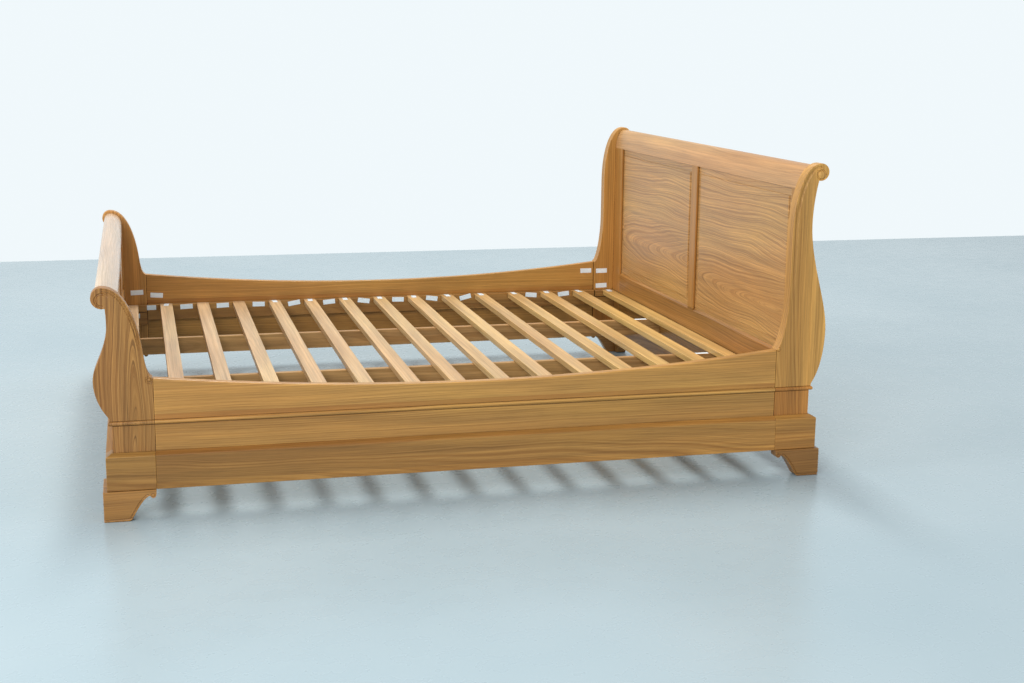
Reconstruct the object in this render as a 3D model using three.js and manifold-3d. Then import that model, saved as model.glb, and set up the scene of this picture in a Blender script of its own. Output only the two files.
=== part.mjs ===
// A wooden sleigh bed for a 1800 x 2000 mm mattress: two panelled ends between scrolled posts,
// two side rails with a plinth, and loose slats on notched ledgers and two long beams.
// Millimetres. +X runs to the headboard, +Y to the right-hand side, +Z up, origin on the floor
// under the middle of the bed. Corner pieces are drawn for the head end's right corner and mirrored.
import * as THREE from "three";
import { mergeVertices } from "three/addons/utils/BufferGeometryUtils.js";
import Module from "manifold-3d";

const wasm = await Module();
wasm.setup();

// Plan: distances from the middle of the bed.
const SEAM_X = 920; // where the side rails meet the posts
const FRAME_FACE_X = 1003; // mattress side of the panelled ends
const NECK_X = 1032; // back of the panelled ends, and of the posts below the bead
const PLINTH_BACK_X = 1053;
const FOOT_BACK_X = 1064;
const BEAD_BACK_X = 1043;
const POST_IN_Y = 902;
const RAIL_IN_Y = 915;
const RAIL_OUT_Y = 941; // also the outer face of the posts
const BEAD_OUT_Y = 946;
const PLINTH_OUT_Y = 959;
const FOOT_OUT_Y = 966;
const STILE_IN_Y = 815;
const MUNTIN_HALF_WIDTH = 27;

// Heights above the floor.
const FOOT_TOP_Z = 85;
const PLINTH_EDGE_Z = 181; // where the plinth's sloped top starts
const PLINTH_TOP_Z = 190;
const RAIL_BOTTOM_Z = 88;
const RAIL_END_Z = 395;
const RAIL_DIP = 52; // how far the rail's top edge sags at its middle
const BEAD_Z = [267, 276];
const FRAME_BOTTOM_Z = 100;
const LEDGE_FRONT_Z = 350;
const PANEL_BOTTOM_Z = 358;
const SLAT_TOP_Z = 276;

// Thicknesses and fits.
const PLINTH_SLOPE_RUN = 16;
const FOOT_THICKNESS = 40;
const PANEL_SETBACK = 8; // of a panel's margin, behind the frame's face
const PANEL_THICKNESS = 8;
const PANEL_MARGIN = 26; // width of the margin that shows round the raised field
const FIELD_HEIGHT = 4; // how far the field stands proud of the margin
const TONGUE_DEPTH = 8; // how far a panel's edge goes into its grooves
const CLEARANCE = 0.3;
const SLAT_WIDTH = 47;
const SLAT_THICKNESS = 20;
const SLAT_PLAY = 0.5;
const SLAT_PITCH = 141;
const INNER_SLATS = 13; // the ones in the side ledgers; one more lies at each end
const END_SLAT_X = 976.5;
const LEDGER_THICKNESS = 22;
const LEDGER_DEPTH = 60;
const END_BLOCK_BOTTOM_Z = 200;
const BEAM_Y = 322;
const BEAM_THICKNESS = 22;
const BEAM_DEPTH = 58;
const BEAM_TENON = 12;
const HOOK_PLATE = { thickness: 3, width: 18, bottom: 240, top: 350 };
const HOOK_REACH = 14;
const HOOK_THROAT = 6;
const HOOK_TOPS_Z = [290, 342];
const CURVE_STEPS = 12;

const HEAD_PANEL_TOP_Z = 873;
const FOOT_PANEL_TOP_Z = 575;

function wood(color, roughness) {
  return new THREE.MeshStandardMaterial({ color, roughness, metalness: 0 });
}

const materials = {
  post: wood(0xa87640, 0.42),
  rail: wood(0xb98545, 0.4),
  plinth: wood(0xb07c42, 0.42),
  foot: wood(0x9c6a38, 0.45),
  panel: wood(0xb88856, 0.38),
  frame: wood(0xb5804a, 0.4),
  slat: wood(0xcfa26a, 0.55),
  beam: wood(0x8a6238, 0.6),
  steel: new THREE.MeshStandardMaterial({ color: 0x9a9c9e, roughness: 0.4, metalness: 1 }),
};

// ---- shape helpers ----

const point = (pair) => new THREE.Vector2(pair[0], pair[1]);

function outline(...pairs) {
  return new THREE.Shape(pairs.map(point));
}

// A block from its two corners.
function block([x0, x1], [y0, y1], [z0, z1]) {
  const geometry = new THREE.BoxGeometry(x1 - x0, y1 - y0, z1 - z0);
  return geometry.translate((x0 + x1) / 2, (y0 + y1) / 2, (z0 + z1) / 2);
}

function extrude(shape, depth) {
  return new THREE.ExtrudeGeometry(shape, { depth, bevelEnabled: false, curveSegments: CURVE_STEPS });
}

// An outline in (x, z), extruded along Y.
function alongY(shape, [y0, y1]) {
  return extrude(shape, y1 - y0).rotateX(Math.PI / 2).translate(0, y1, 0);
}

// An outline in (y, z), extruded along X.
function alongX(shape, [x0, x1]) {
  const turn = new THREE.Matrix4().makeBasis(
    new THREE.Vector3(0, 1, 0), new THREE.Vector3(0, 0, 1), new THREE.Vector3(1, 0, 0));
  return extrude(shape, x1 - x0).applyMatrix4(turn).translate(x0, 0, 0);
}

// Only positions, with shared corners merged.
function bare(geometry) {
  const copy = geometry.clone();
  copy.deleteAttribute("normal");
  copy.deleteAttribute("uv");
  return mergeVertices(copy, 1e-4);
}

function solid(geometry) {
  const mesh = bare(geometry);
  return new wasm.Manifold(new wasm.Mesh({
    numProp: 3,
    vertProperties: Float32Array.from(mesh.attributes.position.array),
    triVerts: Uint32Array.from(mesh.index.array),
  }));
}

function surface(body) {
  const mesh = body.getMesh();
  const geometry = new THREE.BufferGeometry();
  geometry.setAttribute("position", new THREE.BufferAttribute(mesh.vertProperties, 3));
  geometry.setIndex(new THREE.BufferAttribute(mesh.triVerts, 1));
  return geometry;
}

function join(...geometries) {
  return surface(geometries.map(solid).reduce((whole, piece) => whole.add(piece)));
}

function cut(geometry, ...cutters) {
  return surface(cutters.map(solid).reduce((whole, cutter) => whole.subtract(cutter), solid(geometry)));
}

// A piece drawn for the head's right corner (end 1, side 1), mirrored to another corner.
function mirrored(geometry, end, side) {
  const copy = bare(geometry).scale(end, side, 1);
  if (end * side < 0) {
    const index = copy.index.array;
    for (let i = 0; i < index.length; i += 3) {
      [index[i], index[i + 1]] = [index[i + 1], index[i]];
    }
  }
  return copy;
}

const bed = new THREE.Group();

function add(name, material, geometry) {
  const flat = geometry.index ? geometry.toNonIndexed() : geometry;
  flat.computeVertexNormals();
  const mesh = new THREE.Mesh(flat, material);
  mesh.name = name;
  bed.add(mesh);
}

// ---- posts ----

// The head post's S-curve: a tall front edge, a scroll that rolls back, a waist and a bulge.
function headPostOutline() {
  const shape = new THREE.Shape();
  const x = (beyondSeam) => SEAM_X + beyondSeam;
  shape.moveTo(x(0), FOOT_TOP_Z);
  shape.lineTo(x(0), RAIL_END_Z);
  shape.bezierCurveTo(x(16), 402, x(35), 490, x(35), 590);
  shape.lineTo(x(35), 740);
  shape.bezierCurveTo(x(35), 850, x(62), 957, x(118), 957);
  shape.absarc(x(118), 931, 26, Math.PI / 2, -0.57 * Math.PI, true);
  shape.bezierCurveTo(x(104), 870, x(97.5), 825, x(97.5), 775);
  shape.bezierCurveTo(x(97.5), 660, x(157.5), 540, x(157.5), 450);
  shape.bezierCurveTo(x(157.5), 380, x(142), 318, x(118), 285);
  postFootOutline(shape);
  return shape;
}

// The foot post: the same idea, lower, with its front edge swept all the way into the scroll.
function footPostOutline() {
  const shape = new THREE.Shape();
  const x = (beyondSeam) => SEAM_X + beyondSeam;
  shape.moveTo(x(0), FOOT_TOP_Z);
  shape.lineTo(x(0), RAIL_END_Z);
  shape.bezierCurveTo(x(14), 400, x(19), 430, x(22.5), 460);
  shape.bezierCurveTo(x(30), 525, x(56), 648, x(125), 648);
  shape.absarc(x(125), 619, 29, Math.PI / 2, -0.58 * Math.PI, true);
  shape.bezierCurveTo(x(116), 570, x(116), 560, x(116), 545);
  shape.bezierCurveTo(x(116), 480, x(157.5), 430, x(157.5), 393);
  shape.bezierCurveTo(x(157.5), 350, x(142), 315, x(118), 285);
  postFootOutline(shape);
  return shape;
}

// Below the bead the post steps in to its neck and runs straight down to the bracket foot.
function postFootOutline(shape) {
  const beadMiddle = (BEAD_Z[0] + BEAD_Z[1]) / 2;
  shape.lineTo(SEAM_X + 118, beadMiddle);
  shape.lineTo(NECK_X, beadMiddle);
  shape.lineTo(NECK_X, FOOT_TOP_Z);
}

const hookMiddleY = (RAIL_IN_Y + RAIL_OUT_Y) / 2;

// The slot in the post's edge that takes the rail's hooks.
function hookSlot() {
  const halfSlot = HOOK_PLATE.thickness / 2 + CLEARANCE;
  return block([SEAM_X - 1, SEAM_X + HOOK_REACH + CLEARANCE],
    [hookMiddleY - halfSlot, hookMiddleY + halfSlot],
    [HOOK_PLATE.bottom + 5, HOOK_PLATE.top - 5]);
}

function post(shape) {
  const board = alongY(shape, [POST_IN_Y, RAIL_OUT_Y]);
  const bead = block([SEAM_X, BEAD_BACK_X], [POST_IN_Y, BEAD_OUT_Y], BEAD_Z);
  return cut(join(board, bead), hookSlot());
}

// The block on a post's inner face that carries the slat lying against the panelled end.
function endSlatBlock() {
  const inner = POST_IN_Y - LEDGER_THICKNESS;
  const body = block([SEAM_X + 0.5, FRAME_FACE_X], [inner, POST_IN_Y], [END_BLOCK_BOTTOM_Z, SLAT_TOP_Z]);
  const notch = block([END_SLAT_X - SLAT_WIDTH / 2 - SLAT_PLAY, FRAME_FACE_X + 1],
    [inner - 1, POST_IN_Y + 1], [SLAT_TOP_Z - SLAT_THICKNESS, SLAT_TOP_Z + 1]);
  const shadowGroove = block([SEAM_X, FRAME_FACE_X + 1], [inner - 1, inner + 8], [248, 251]);
  return cut(body, notch, shadowGroove);
}

// ---- plinth and feet ----

// What is cut away above the plinth's sloped top, in (distance outwards, z).
function plinthSlope(face) {
  const past = face + 10;
  const above = PLINTH_TOP_Z + 10;
  const inner = face - PLINTH_SLOPE_RUN;
  return outline([face, PLINTH_EDGE_Z], [past, PLINTH_EDGE_Z],
    [past, above], [inner, above], [inner, PLINTH_TOP_Z]);
}

// The L-shaped plinth piece that wraps a post's outer face and back.
function plinthBlock() {
  const height = [FOOT_TOP_Z, PLINTH_TOP_Z];
  const whole = block([SEAM_X, PLINTH_BACK_X], [POST_IN_Y, PLINTH_OUT_Y], height);
  const postSpace = block([SEAM_X - 1, NECK_X], [POST_IN_Y - 1, RAIL_OUT_Y],
    [FOOT_TOP_Z - 1, PLINTH_TOP_Z + 1]);
  const sideSlope = alongX(plinthSlope(PLINTH_OUT_Y), [SEAM_X - 1, PLINTH_BACK_X + 1]);
  const backSlope = alongY(plinthSlope(PLINTH_BACK_X), [POST_IN_Y - 1, PLINTH_OUT_Y + 1]);
  return cut(whole, postSpace, sideSlope, backSlope);
}

function sidePlinth() {
  const board = block([-SEAM_X, SEAM_X], [RAIL_OUT_Y, PLINTH_OUT_Y], [FOOT_TOP_Z, PLINTH_TOP_Z]);
  return cut(board, alongX(plinthSlope(PLINTH_OUT_Y), [-SEAM_X - 1, SEAM_X + 1]));
}

function endPlinth() {
  const board = block([NECK_X, PLINTH_BACK_X], [-POST_IN_Y, POST_IN_Y], [FOOT_TOP_Z, PLINTH_TOP_Z]);
  return cut(board, alongY(plinthSlope(PLINTH_BACK_X), [-POST_IN_Y - 1, POST_IN_Y + 1]));
}

// One leg of a bracket foot, in (distance in from the corner, z): a plumb outer edge, a swept
// inner edge and a small volute under the plinth.
function bracketOutline() {
  const shape = new THREE.Shape();
  shape.moveTo(0, 0);
  shape.lineTo(0, FOOT_TOP_Z);
  shape.lineTo(143, FOOT_TOP_Z);
  shape.lineTo(141, 70);
  shape.quadraticCurveTo(133, 58, 126, 72);
  shape.bezierCurveTo(110, 68, 92, 30, 67, 0);
  return shape;
}

function bracketFoot() {
  const leg = extrude(bracketOutline(), FOOT_THICKNESS);
  const sideTurn = new THREE.Matrix4().makeBasis(
    new THREE.Vector3(-1, 0, 0), new THREE.Vector3(0, 0, 1), new THREE.Vector3(0, 1, 0));
  const sideLeg = leg.clone().applyMatrix4(sideTurn).translate(FOOT_BACK_X, FOOT_OUT_Y - FOOT_THICKNESS, 0);
  const backTurn = new THREE.Matrix4().makeBasis(
    new THREE.Vector3(0, -1, 0), new THREE.Vector3(0, 0, 1), new THREE.Vector3(-1, 0, 0));
  const backLeg = leg.clone().applyMatrix4(backTurn).translate(FOOT_BACK_X, FOOT_OUT_Y, 0);
  return join(sideLeg, backLeg);
}

// ---- panelled ends ----

// The space of one panel, from its tongue's edge to edge, grown by a margin.
function panelSpace(topZ, margin) {
  const front = FRAME_FACE_X + PANEL_SETBACK;
  const reach = TONGUE_DEPTH + margin;
  return block([front - margin, front + PANEL_THICKNESS + margin],
    [MUNTIN_HALF_WIDTH - reach, STILE_IN_Y + reach],
    [PANEL_BOTTOM_Z - reach, topZ + reach]);
}

// A panel whose field is raised above the margin that the frame holds.
function panel(topZ) {
  const front = FRAME_FACE_X + PANEL_SETBACK;
  const field = block([front - FIELD_HEIGHT, front + 1],
    [MUNTIN_HALF_WIDTH + PANEL_MARGIN, STILE_IN_Y - PANEL_MARGIN],
    [PANEL_BOTTOM_Z + PANEL_MARGIN, topZ - PANEL_MARGIN]);
  return join(panelSpace(topZ, 0), field);
}

// Both panels' grooves, for cutting a rail or the muntin that they both meet.
function bothGrooves(topZ) {
  const right = panelSpace(topZ, CLEARANCE);
  return [right, mirrored(right, 1, -1)];
}

function backBead([y0, y1]) {
  return block([NECK_X - 1, BEAD_BACK_X], [y0, y1], BEAD_Z);
}

function stile(topZ) {
  const span = [STILE_IN_Y, POST_IN_Y];
  const board = block([FRAME_FACE_X, NECK_X], span, [FRAME_BOTTOM_Z, topZ]);
  return cut(join(board, backBead(span)), panelSpace(topZ, CLEARANCE));
}

function muntin(topZ) {
  const width = [-MUNTIN_HALF_WIDTH, MUNTIN_HALF_WIDTH];
  return cut(block([FRAME_FACE_X, NECK_X], width, [PANEL_BOTTOM_Z, topZ]), ...bothGrooves(topZ));
}

// The bottom rail, with a sloped ledge under each panel and a mortise for each beam.
function bottomRail(topZ) {
  const span = [-STILE_IN_Y, STILE_IN_Y];
  const board = block([FRAME_FACE_X, NECK_X], span, [FRAME_BOTTOM_Z, PANEL_BOTTOM_Z]);
  const slope = outline([FRAME_FACE_X - 1, LEDGE_FRONT_Z - 1], [FRAME_FACE_X + PANEL_SETBACK, PANEL_BOTTOM_Z],
    [FRAME_FACE_X + PANEL_SETBACK, PANEL_BOTTOM_Z + 5], [FRAME_FACE_X - 1, PANEL_BOTTOM_Z + 5]);
  const rightSlope = alongY(slope, [MUNTIN_HALF_WIDTH, STILE_IN_Y + 1]);
  const mortise = beamSpace(CLEARANCE);
  return cut(join(board, backBead(span)), ...bothGrooves(topZ),
    rightSlope, mirrored(rightSlope, 1, -1), mortise, mirrored(mortise, 1, -1));
}

// The head's top rail rolls back in one convex sweep, a little inside the posts' rims.
function headTopRail() {
  const shape = new THREE.Shape();
  shape.moveTo(FRAME_FACE_X, HEAD_PANEL_TOP_Z);
  shape.bezierCurveTo(FRAME_FACE_X, 912, SEAM_X + 97, 948, SEAM_X + 120, 948);
  shape.absarc(SEAM_X + 120, 929, 19, Math.PI / 2, -Math.PI / 2, true);
  shape.lineTo(NECK_X, 910);
  shape.lineTo(NECK_X, HEAD_PANEL_TOP_Z);
  return cut(alongY(shape, [-POST_IN_Y, POST_IN_Y]), ...bothGrooves(HEAD_PANEL_TOP_Z));
}

function footTopRail() {
  const shape = new THREE.Shape();
  shape.moveTo(FRAME_FACE_X, FOOT_PANEL_TOP_Z);
  shape.lineTo(FRAME_FACE_X, 598);
  shape.bezierCurveTo(FRAME_FACE_X, 622, SEAM_X + 102, 638, SEAM_X + 126, 638);
  shape.absarc(SEAM_X + 126, 618, 20, Math.PI / 2, -Math.PI / 2, true);
  shape.lineTo(NECK_X, 598);
  shape.lineTo(NECK_X, FOOT_PANEL_TOP_Z);
  return cut(alongY(shape, [-POST_IN_Y, POST_IN_Y]), ...bothGrooves(FOOT_PANEL_TOP_Z));
}

// ---- sides ----

// The pocket in the rail's end that the hook plate is let into.
function hookPocket() {
  return block([SEAM_X - HOOK_PLATE.thickness - CLEARANCE, SEAM_X + 1],
    [hookMiddleY - HOOK_PLATE.width / 2 - CLEARANCE, hookMiddleY + HOOK_PLATE.width / 2 + CLEARANCE],
    [HOOK_PLATE.bottom - CLEARANCE, HOOK_PLATE.top + CLEARANCE]);
}

function sideRail() {
  const shape = new THREE.Shape();
  shape.moveTo(-SEAM_X, RAIL_BOTTOM_Z);
  shape.lineTo(SEAM_X, RAIL_BOTTOM_Z);
  shape.lineTo(SEAM_X, RAIL_END_Z);
  shape.quadraticCurveTo(0, RAIL_END_Z - 2 * RAIL_DIP, -SEAM_X, RAIL_END_Z);
  const board = alongY(shape, [RAIL_IN_Y, RAIL_OUT_Y]);
  const bead = block([-SEAM_X, SEAM_X], [RAIL_IN_Y + 1, BEAD_OUT_Y], BEAD_Z);
  return cut(join(board, bead), hookPocket(), mirrored(hookPocket(), -1, 1));
}

// A steel plate with two downward hooks, let into the end of a side rail.
function railHook() {
  const plateBack = SEAM_X - HOOK_PLATE.thickness;
  const plate = block([plateBack, SEAM_X - CLEARANCE],
    [hookMiddleY - HOOK_PLATE.width / 2, hookMiddleY + HOOK_PLATE.width / 2],
    [HOOK_PLATE.bottom, HOOK_PLATE.top]);
  const halfBlade = HOOK_PLATE.thickness / 2;
  const blades = HOOK_TOPS_Z.map((top) => alongY(
    outline([plateBack + 1, top], [SEAM_X + HOOK_REACH, top], [SEAM_X + HOOK_REACH, top - 28],
      [SEAM_X + HOOK_THROAT, top - 28], [SEAM_X + HOOK_THROAT, top - 14], [plateBack + 1, top - 14]),
    [hookMiddleY - halfBlade, hookMiddleY + halfBlade]));
  return join(plate, ...blades);
}

const innerSlatX = (i) => (i - (INNER_SLATS - 1) / 2) * SLAT_PITCH;

// The ledger along a side rail, notched for each slat.
function slatLedger() {
  const inner = RAIL_IN_Y - LEDGER_THICKNESS;
  const strip = block([-SEAM_X, SEAM_X], [inner, RAIL_IN_Y], [SLAT_TOP_Z - LEDGER_DEPTH, SLAT_TOP_Z]);
  const halfNotch = SLAT_WIDTH / 2 + SLAT_PLAY;
  const notches = Array.from({ length: INNER_SLATS }, (_, i) => block(
    [innerSlatX(i) - halfNotch, innerSlatX(i) + halfNotch],
    [inner - 1, RAIL_IN_Y + 1], [SLAT_TOP_Z - SLAT_THICKNESS, SLAT_TOP_Z + 1]));
  return cut(strip, ...notches);
}

// The space of the right-hand beam, tenons included, grown by a margin.
function beamSpace(margin) {
  const end = FRAME_FACE_X + BEAM_TENON - CLEARANCE + margin;
  const top = SLAT_TOP_Z - SLAT_THICKNESS;
  return block([-end, end],
    [BEAM_Y - BEAM_THICKNESS / 2 - margin, BEAM_Y + BEAM_THICKNESS / 2 + margin],
    [top - BEAM_DEPTH - margin, top + margin]);
}

function slat(x, halfLength) {
  return block([x - SLAT_WIDTH / 2, x + SLAT_WIDTH / 2], [-halfLength, halfLength],
    [SLAT_TOP_Z - SLAT_THICKNESS, SLAT_TOP_Z]);
}

// ---- the assembly ----

const SIDES = [["left", -1], ["right", 1]];
const ENDS = [
  { name: "head", end: 1, postOutline: headPostOutline, topRail: headTopRail, panelTop: HEAD_PANEL_TOP_Z },
  { name: "foot", end: -1, postOutline: footPostOutline, topRail: footTopRail, panelTop: FOOT_PANEL_TOP_Z },
];

for (const { name, end, postOutline, topRail, panelTop } of ENDS) {
  add(`${name}_top_rail`, materials.frame, mirrored(topRail(), end, 1));
  add(`${name}_bottom_rail`, materials.frame, mirrored(bottomRail(panelTop), end, 1));
  add(`${name}_muntin`, materials.frame, mirrored(muntin(panelTop), end, 1));
  add(`${name}_plinth`, materials.plinth, mirrored(endPlinth(), end, 1));
  for (const [sideName, side] of SIDES) {
    const corner = `${name}_${sideName}`;
    add(`${corner}_post`, materials.post, mirrored(post(postOutline()), end, side));
    add(`${corner}_slat_block`, materials.rail, mirrored(endSlatBlock(), end, side));
    add(`${corner}_stile`, materials.frame, mirrored(stile(panelTop), end, side));
    add(`${corner}_panel`, materials.panel, mirrored(panel(panelTop), end, side));
    add(`${corner}_plinth_block`, materials.plinth, mirrored(plinthBlock(), end, side));
    add(`${corner}_foot`, materials.foot, mirrored(bracketFoot(), end, side));
    add(`${corner}_rail_hook`, materials.steel, mirrored(railHook(), end, side));
  }
}

for (const [sideName, side] of SIDES) {
  add(`${sideName}_side_rail`, materials.rail, mirrored(sideRail(), 1, side));
  add(`${sideName}_side_plinth`, materials.plinth, mirrored(sidePlinth(), 1, side));
  add(`${sideName}_slat_ledger`, materials.rail, mirrored(slatLedger(), 1, side));
  add(`${sideName}_beam`, materials.beam, mirrored(beamSpace(0), 1, side));
}

// Slats are numbered from the foot to the head. The end slats stop at the posts.
const slatPlaces = [
  [-END_SLAT_X, POST_IN_Y - SLAT_PLAY],
  ...Array.from({ length: INNER_SLATS }, (_, i) => [innerSlatX(i), RAIL_IN_Y - SLAT_PLAY]),
  [END_SLAT_X, POST_IN_Y - SLAT_PLAY],
];
slatPlaces.forEach(([x, halfLength], i) => {
  add(`slat_${String(i + 1).padStart(2, "0")}`, materials.slat, slat(x, halfLength));
});

export default bed;
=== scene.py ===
import math
import random

import bmesh
import bpy
import numpy as np
from mathutils import Matrix, Vector


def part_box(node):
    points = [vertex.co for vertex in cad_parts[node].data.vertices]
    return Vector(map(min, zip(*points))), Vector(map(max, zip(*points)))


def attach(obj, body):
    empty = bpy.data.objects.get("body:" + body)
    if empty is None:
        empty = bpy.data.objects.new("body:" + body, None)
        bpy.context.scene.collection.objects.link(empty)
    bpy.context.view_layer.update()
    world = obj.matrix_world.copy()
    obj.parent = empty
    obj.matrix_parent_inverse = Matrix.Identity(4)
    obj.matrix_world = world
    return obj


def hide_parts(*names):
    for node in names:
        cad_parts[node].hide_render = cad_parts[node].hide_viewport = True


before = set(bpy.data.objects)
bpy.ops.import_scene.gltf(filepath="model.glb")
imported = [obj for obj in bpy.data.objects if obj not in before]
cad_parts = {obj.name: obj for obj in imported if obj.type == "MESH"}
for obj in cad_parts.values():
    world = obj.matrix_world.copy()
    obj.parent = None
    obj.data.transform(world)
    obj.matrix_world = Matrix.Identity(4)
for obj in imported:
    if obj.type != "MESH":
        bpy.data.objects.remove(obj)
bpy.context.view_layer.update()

# ---- places taken from the frame, in metres ----

RAIL_LOW, RAIL_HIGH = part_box("right_side_rail")
SEAM_X = RAIL_HIGH.x  # where the side rails meet the posts
RAIL_IN_Y = RAIL_LOW.y
BEAD_OUT_Y = RAIL_HIGH.y
POST_LOW, POST_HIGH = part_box("head_right_post")
POST_IN_Y = POST_LOW.y
POST_OUT_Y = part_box("right_side_plinth")[0].y  # also the outer face of the rails
BEAD_BACK_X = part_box("head_right_stile")[1].x
NECK_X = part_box("head_muntin")[1].x
FOOT_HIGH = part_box("head_right_foot")[1]
FOOT_TOP_Z = FOOT_HIGH.z
SLAT_TOP_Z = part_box("slat_08")[1].z
LEDGER_IN_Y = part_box("right_slat_ledger")[0].y
HOOK_LOW, HOOK_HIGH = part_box("head_right_rail_hook")
HOOK_Y = (RAIL_IN_Y + POST_OUT_Y) / 2
SLATS = [f"slat_{i:02d}" for i in range(1, 16)]
ENDS = {"head": 1, "foot": -1}
SIDES = {"left": -1, "right": 1}

# ---- fine shapes that the frame doesn't hold ----

MM = 0.001
BEAD_LOW_Z = 265.5 * MM
BEAD_HIGH_Z = 277.5 * MM
BEAD_MIDDLE_Z = (BEAD_LOW_Z + BEAD_HIGH_Z) / 2
BEAD_RADIUS = (BEAD_HIGH_Z - BEAD_LOW_Z) / 2
QUIRK = 1.6 * MM  # the small sinking on each side of the bead
PAST = 1 * MM  # how far a cutter runs past what it cuts


# ---- shader trees ----

BLACK = (0, 0, 0)
WHITE = (1, 1, 1)


class Tree:
    """Makes shader nodes with their inputs set or linked by name."""

    def __init__(self, name):
        self.material = bpy.data.materials.new(name)
        self.material.use_nodes = True
        self.nodes = self.material.node_tree.nodes
        self.links = self.material.node_tree.links
        self.inputs = self.nodes["Principled BSDF"].inputs
        self.place = self.add("ShaderNodeTexCoord").outputs["Object"]

    def put(self, socket, value):
        if isinstance(value, bpy.types.NodeSocket):
            self.links.new(value, socket)
        else:
            socket.default_value = value

    def add(self, kind, settings=None, **inputs):
        n = self.nodes.new(kind)
        for key, value in (settings or {}).items():
            setattr(n, key, value)
        for key, value in inputs.items():
            self.put(n.inputs[key.replace("_", " ")], value)
        return n

    def math(self, operation, *values):
        n = self.nodes.new("ShaderNodeMath")
        n.operation = operation
        for socket, value in zip(n.inputs, values):
            self.put(socket, value)
        return n.outputs[0]

    def vector(self, operation, a, b):
        n = self.nodes.new("ShaderNodeVectorMath")
        n.operation = operation
        self.put(n.inputs[0], a)
        self.put(n.inputs[1], b)
        return n.outputs[0]

    def axis(self, vector, letter):
        return self.add("ShaderNodeSeparateXYZ", Vector=vector).outputs[letter]

    def noise(self, vector, scale, detail, roughness=0.5):
        n = self.add("ShaderNodeTexNoise", Vector=vector, Scale=scale, Detail=detail, Roughness=roughness)
        return n.outputs["Fac"]

    def ramp(self, value, *stops):
        """A colour ramp of (position, colour) stops. The first two are its ends."""
        n = self.nodes.new("ShaderNodeValToRGB")
        self.put(n.inputs[0], value)
        elements = n.color_ramp.elements
        for i, (position, colour) in enumerate(stops):
            e = elements[i] if i < 2 else elements.new(position)
            e.position = position
            e.color = (*colour, 1)
        return n.outputs[0]

    def mix(self, factor, a, b, blend="MIX"):
        n = self.nodes.new("ShaderNodeMix")
        n.data_type = "RGBA"
        n.blend_type = blend
        self.put(n.inputs["Factor"], factor)
        for socket, colour in ((n.inputs[6], a), (n.inputs[7], b)):
            self.put(socket, colour if isinstance(colour, bpy.types.NodeSocket) else (*colour, 1))
        return n.outputs[2]

    def times(self, colour, tint):
        return self.mix(1.0, colour, tint, "MULTIPLY")

    def share(self, mask, most):
        """A mask scaled so that its white is most."""
        return self.math("MULTIPLY", mask, most)

    def grey(self, value):
        n = self.nodes.new("ShaderNodeCombineColor")
        for i in range(3):
            self.put(n.inputs[i], value)
        return n.outputs[0]


def scaled(colour, red, green, blue):
    return tuple(c * k for c, k in zip(colour, (red, green, blue)))


# ---- teak ----

PAINTED_SHADE_REACH = 10 * MM  # how near two faces are for painted shade to darken the crease between them
WEAR_AND_HIGHLIGHT_REACH = 4 * MM  # how far the paler edge reaches in from an outer edge: partly rubbed wood, partly a painted highlight
NARROW_RINGS = 0.3  # the thin rings' gap, as a share of the broad rings' gap


class Board(Tree):
    """A tree for sawn wood, with each board at its own place in the grain."""

    def __init__(self, name, cut):
        """cut names the axes along the fibres, across the face and into the face."""
        super().__init__(name)
        own = self.add("ShaderNodeAttribute", {"attribute_type": "OBJECT", "attribute_name": "board"})
        shifted = self.vector("ADD", self.place, own.outputs["Vector"])
        parts = self.add("ShaderNodeSeparateXYZ", Vector=shifted).outputs
        self.along, self.across, self.deep = [parts[letter] for letter in cut]
        combined = self.add("ShaderNodeCombineXYZ", X=self.along, Y=self.across, Z=self.deep)
        self.grain = combined.outputs[0]

    def streaks(self, along, across, detail, roughness=0.5):
        """Noise drawn out along the fibres, with its two scales."""
        stretched = self.vector("MULTIPLY", self.grain, (along, across, across))
        return self.noise(stretched, 1.0, detail, roughness)

    def sway(self, noise, size):
        """Noise moved to both sides of nought."""
        return self.math("MULTIPLY", self.math("SUBTRACT", noise, 0.5), size)

    def ring_radius(self, figure, heart, off, taper):
        """Distance from the tree's heart, which wanders along the board."""
        wander = self.sway(self.streaks(1.7, 6.0, 1.0, 0.4), 0.16 * figure)
        ripple = self.sway(self.streaks(8.0, 26.0, 2.0), 0.014 * figure)
        bend = self.math("ADD", wander, ripple)
        u = self.math("ADD", self.math("ADD", self.across, bend), off)
        v = self.math("ADD", self.math("MULTIPLY_ADD", self.along, taper, self.deep), heart)
        return self.math("SQRT", self.math("ADD", self.math("MULTIPLY", u, u), self.math("MULTIPLY", v, v)))

    def rings(self, radius, gap):
        n = self.add("ShaderNodeTexNoise", {"noise_dimensions": "1D"},
                     W=self.math("DIVIDE", radius, gap), Scale=1.0, Detail=2.0, Roughness=0.6)
        return n.outputs["Fac"]

    def painted_light_and_edge_wear(self, colour):
        """Painted shade in the creases and where pieces meet, and paler outer edges: partly rubbed wear,
        partly a painted highlight.
        """
        # Occlusion from this piece and from pieces near it darkens the colour: painted shade.
        hollow = self.add("ShaderNodeAmbientOcclusion", {"samples": 6}, Distance=PAINTED_SHADE_REACH)
        painted_shade = self.ramp(hollow.outputs["AO"], (0.22, (0.22, 0.16, 0.12)), (0.66, WHITE))
        # Outer edges are lightened: partly rubbed wear, partly a painted highlight.
        edge = self.add("ShaderNodeAmbientOcclusion", {"samples": 4, "inside": True, "only_local": True},
                        Distance=WEAR_AND_HIGHLIGHT_REACH)
        wear_and_highlight = self.ramp(edge.outputs["AO"], (0.35, (1.30, 1.28, 1.15)), (0.90, WHITE))
        return self.times(self.times(colour, painted_shade), wear_and_highlight)


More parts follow.
